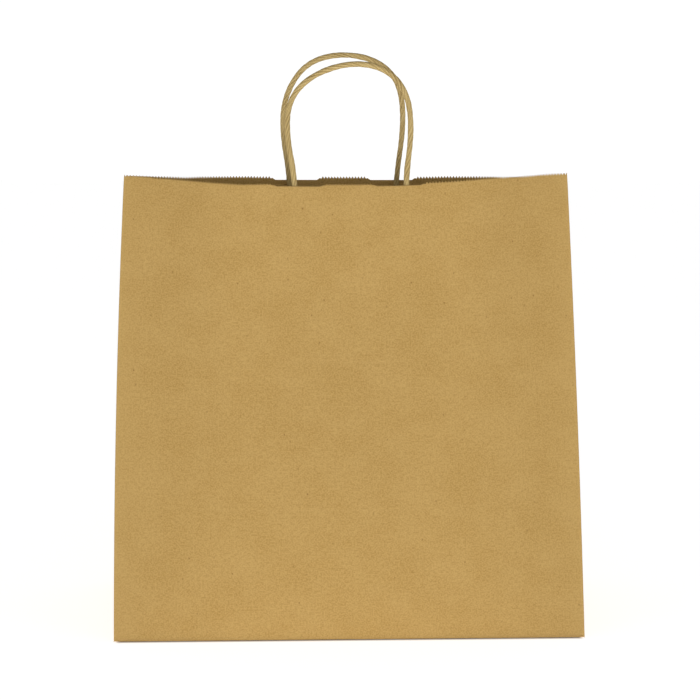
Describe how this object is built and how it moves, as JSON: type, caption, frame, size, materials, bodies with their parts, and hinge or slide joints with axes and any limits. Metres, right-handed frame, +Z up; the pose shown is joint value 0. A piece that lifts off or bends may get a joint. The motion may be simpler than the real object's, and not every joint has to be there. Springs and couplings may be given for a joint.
{
  "type": "gift bag",
  "caption": "Upright kraft paper carrier bag with gusseted sides, folded base, pinked and notched mouth, and twisted paper cord handles.",
  "frame": {"origin": "middle of the base, on the surface that the bag stands on", "axes": "+Z up towards the mouth and handles, -Y out of the front wall, +X to the right as seen from the front"},
  "size_m": [0.3294, 0.1778, 0.4084],
  "materials": {
    "kraft_paper": "matte",
    "patch_paper": "matte",
    "cord_paper": "matte"
  },
  "bodies": {
    "root": {"bottom_back_flap": "kraft_paper", "bottom_front_flap": "kraft_paper", "left_bottom_tuck": "kraft_paper", "right_bottom_tuck": "kraft_paper"},
    "front_wall": {"front_wall": "kraft_paper", "front_handle_backing": "patch_paper", "front_handle_cover": "patch_paper", "front_handle_legs": "cord_paper"},
    "back_wall": {"back_wall": "kraft_paper", "back_handle_backing": "patch_paper", "back_handle_cover": "patch_paper", "back_handle_legs": "cord_paper", "seam_lap": "kraft_paper"},
    "front_handle": {"front_handle_loop": "cord_paper"},
    "back_handle": {"back_handle_loop": "cord_paper"},
    "left_gusset_foot": {"left_gusset_foot": "kraft_paper"},
    "left_front_gusset_wing": {"left_front_gusset_wing": "kraft_paper"},
    "left_front_gusset_fold": {"left_front_gusset_fold": "kraft_paper"},
    "left_back_gusset_wing": {"left_back_gusset_wing": "kraft_paper"},
    "left_back_gusset_fold": {"left_back_gusset_fold": "kraft_paper"},
    "right_gusset_foot": {"right_gusset_foot": "kraft_paper"},
    "right_front_gusset_wing": {"right_front_gusset_wing": "kraft_paper"},
    "right_front_gusset_fold": {"right_front_gusset_fold": "kraft_paper"},
    "right_back_gusset_wing": {"right_back_gusset_wing": "kraft_paper"},
    "right_back_gusset_fold": {"right_back_gusset_fold": "kraft_paper"}
  },
  "joints": [
    {"name": "front_wall_lean", "type": "hinge", "parent": "root", "child": "front_wall", "pos_m": [0, -0.089, 0], "axis": [1, 0, 0], "range_deg": [-0.95, 6.3]},
    {"name": "back_wall_lean", "type": "hinge", "parent": "root", "child": "back_wall", "pos_m": [0, 0.089, 0], "axis": [-1, 0, 0], "range_deg": [-0.95, 6.3]},
    {"name": "left_gusset_foot_tilt", "type": "hinge", "parent": "root", "child": "left_gusset_foot", "pos_m": [-0.165, 0, 0], "axis": [0, 1, 0], "range_deg": [-9.17, 1.38]},
    {"name": "left_front_gusset_wing_turn", "type": "hinge", "parent": "front_wall", "child": "left_front_gusset_wing", "pos_m": [-0.165, -0.089, 0], "axis": [0.0176, 0.2415, 0.9702], "range_deg": [-1.36, 9.03]},
    {"name": "left_front_gusset_fold_turn", "type": "hinge", "parent": "left_front_gusset_wing", "child": "left_front_gusset_fold", "pos_m": [-0.10823, 0, 0.06855], "axis": [-0.1984, -0.0362, 0.9795], "range_deg": [-2.26, 15]},
    {"name": "left_back_gusset_wing_turn", "type": "hinge", "parent": "back_wall", "child": "left_back_gusset_wing", "pos_m": [-0.165, 0.089, 0], "axis": [-0.0176, 0.2415, -0.9702], "range_deg": [-1.36, 9.03]},
    {"name": "left_back_gusset_fold_turn", "type": "hinge", "parent": "left_back_gusset_wing", "child": "left_back_gusset_fold", "pos_m": [-0.10823, 0, 0.06855], "axis": [0.1984, -0.0362, -0.9795], "range_deg": [-2.26, 15]},
    {"name": "right_gusset_foot_tilt", "type": "hinge", "parent": "root", "child": "right_gusset_foot", "pos_m": [0.165, 0, 0], "axis": [0, -1, 0], "range_deg": [-9.17, 1.38]},
    {"name": "right_front_gusset_wing_turn", "type": "hinge", "parent": "front_wall", "child": "right_front_gusset_wing", "pos_m": [0.165, -0.089, 0], "axis": [0.0176, -0.2415, -0.9702], "range_deg": [-1.36, 9.03]},
    {"name": "right_front_gusset_fold_turn", "type": "hinge", "parent": "right_front_gusset_wing", "child": "right_front_gusset_fold", "pos_m": [0.10823, 0, 0.06855], "axis": [-0.1984, 0.0362, -0.9795], "range_deg": [-2.26, 15]},
    {"name": "right_back_gusset_wing_turn", "type": "hinge", "parent": "back_wall", "child": "right_back_gusset_wing", "pos_m": [0.165, 0.089, 0], "axis": [-0.0176, -0.2415, 0.9702], "range_deg": [-1.36, 9.03]},
    {"name": "right_back_gusset_fold_turn", "type": "hinge", "parent": "right_back_gusset_wing", "child": "right_back_gusset_fold", "pos_m": [0.10823, 0, 0.06855], "axis": [0.1984, 0.0362, 0.9795], "range_deg": [-2.26, 15]},
    {"name": "front_handle_fold", "type": "hinge", "parent": "front_wall", "child": "front_handle", "pos_m": [0, -0.03746, 0.31927], "axis": [1, 0, 0], "range_deg": [-7, 120]},
    {"name": "back_handle_fold", "type": "hinge", "parent": "back_wall", "child": "back_handle", "pos_m": [0, 0.03746, 0.31927], "axis": [-1, 0, 0], "range_deg": [-7, 120]}
  ],
  "couplings": [
    {"joint": "back_wall_lean", "follows": "front_wall_lean", "ratio": 1},
    {"joint": "left_gusset_foot_tilt", "follows": "front_wall_lean", "ratio": -1.4559},
    {"joint": "left_front_gusset_wing_turn", "follows": "front_wall_lean", "ratio": 1.4339},
    {"joint": "left_front_gusset_fold_turn", "follows": "front_wall_lean", "ratio": 2.3816},
    {"joint": "left_back_gusset_wing_turn", "follows": "front_wall_lean", "ratio": 1.4339},
    {"joint": "left_back_gusset_fold_turn", "follows": "front_wall_lean", "ratio": 2.3816},
    {"joint": "right_gusset_foot_tilt", "follows": "front_wall_lean", "ratio": -1.4559},
    {"joint": "right_front_gusset_wing_turn", "follows": "front_wall_lean", "ratio": 1.4339},
    {"joint": "right_front_gusset_fold_turn", "follows": "front_wall_lean", "ratio": 2.3816},
    {"joint": "right_back_gusset_wing_turn", "follows": "front_wall_lean", "ratio": 1.4339},
    {"joint": "right_back_gusset_fold_turn", "follows": "front_wall_lean", "ratio": 2.3816}
  ]
}
